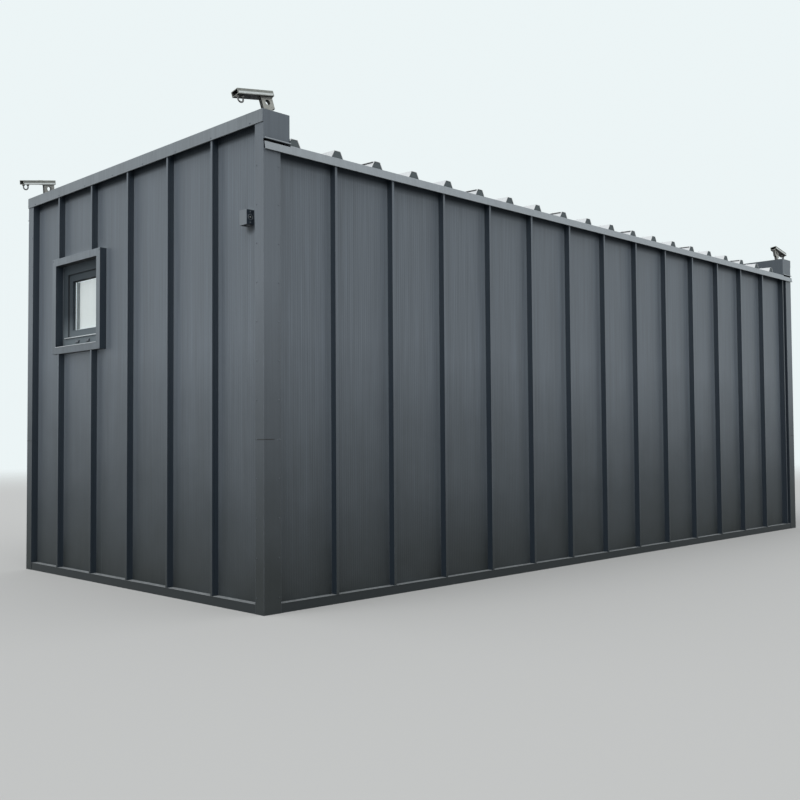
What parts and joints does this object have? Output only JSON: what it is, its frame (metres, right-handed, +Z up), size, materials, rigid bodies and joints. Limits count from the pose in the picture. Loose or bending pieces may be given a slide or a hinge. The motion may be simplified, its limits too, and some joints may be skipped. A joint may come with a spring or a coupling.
{
  "type": "portable site cabin",
  "caption": "Flat-sided transportable cabin with standing-seam steel cladding, crested mono-pitch roof between end parapets, small square window, door and lashing brackets.",
  "frame": {"origin": "on the ground, at the middle of the footprint", "axes": "+X along the length, from the window end to the plain end; +Y from the plain long wall towards the door side; +Z up"},
  "size_m": [7.334, 3.0217, 3.0268],
  "materials": {
    "frame_steel": "painted, matt",
    "underside_sheet": "plain sheet, satin",
    "floor_board": "bare board",
    "wall_panel": "lined, matt",
    "cladding_steel": "anthracite, semi-matt, finely ribbed",
    "trim_steel": "anthracite, semi-matt",
    "eaves_steel": "grey, satin",
    "roof_steel": "light grey, satin",
    "filler_foam": "grey foam, matt",
    "window_plastic": "anthracite foil, fine grain",
    "window_glass": "clear, glossy",
    "frosted_pane": "opal, translucent",
    "spacer_bar": "plain, satin",
    "door_steel": "anthracite, semi-matt",
    "handle_steel": "brushed",
    "lamp_housing": "anthracite, fine texture",
    "galvanised_steel": "hot-dip galvanised, spangled",
    "eye_steel": "galvanised, dulled"
  },
  "bodies": {
    "root": {"floor_side_beams": "frame_steel", "floor_end_beams": "frame_steel", "floor_joists": "frame_steel", "floor_underside": "underside_sheet", "floor_deck": "floor_board", "corner_posts": "frame_steel", "front_wall": "wall_panel", "right_wall": "wall_panel", "left_wall_piers": "wall_panel", "left_wall_bands": "wall_panel", "rear_wall_panels": "wall_panel", "rear_wall_over_door": "wall_panel", "front_cladding": "cladding_steel", "right_cladding": "cladding_steel", "left_cladding": "cladding_steel", "left_cladding_strips": "cladding_steel", "rear_cladding": "cladding_steel", "rear_cladding_strips": "cladding_steel", "front_corner_trims": "trim_steel", "rear_corner_trims": "trim_steel", "base_flashing": "trim_steel", "eaves_flashing": "eaves_steel", "verge_flashing": "eaves_steel", "roof_panels": "roof_steel", "crest_fillers": "filler_foam", "left_parapet_cap": "trim_steel", "right_parapet_cap": "trim_steel", "left_parapet_sides": "trim_steel", "right_parapet_sides": "trim_steel", "window_surround": "trim_steel", "window_frame": "window_plastic", "window_sash": "window_plastic", "window_glass": "window_glass", "window_inner_pane": "frosted_pane", "window_spacer": "spacer_bar", "window_drain_caps": "window_plastic", "door_surround": "trim_steel", "door_frame": "door_steel", "door_leaf": "door_steel", "door_handle": "handle_steel", "door_hinges": "handle_steel", "wall_lamp": "lamp_housing", "lashing_lugs": "galvanised_steel", "lashing_tubes": "galvanised_steel", "lashing_eyes": "eye_steel"}
  },
  "joints": []
}
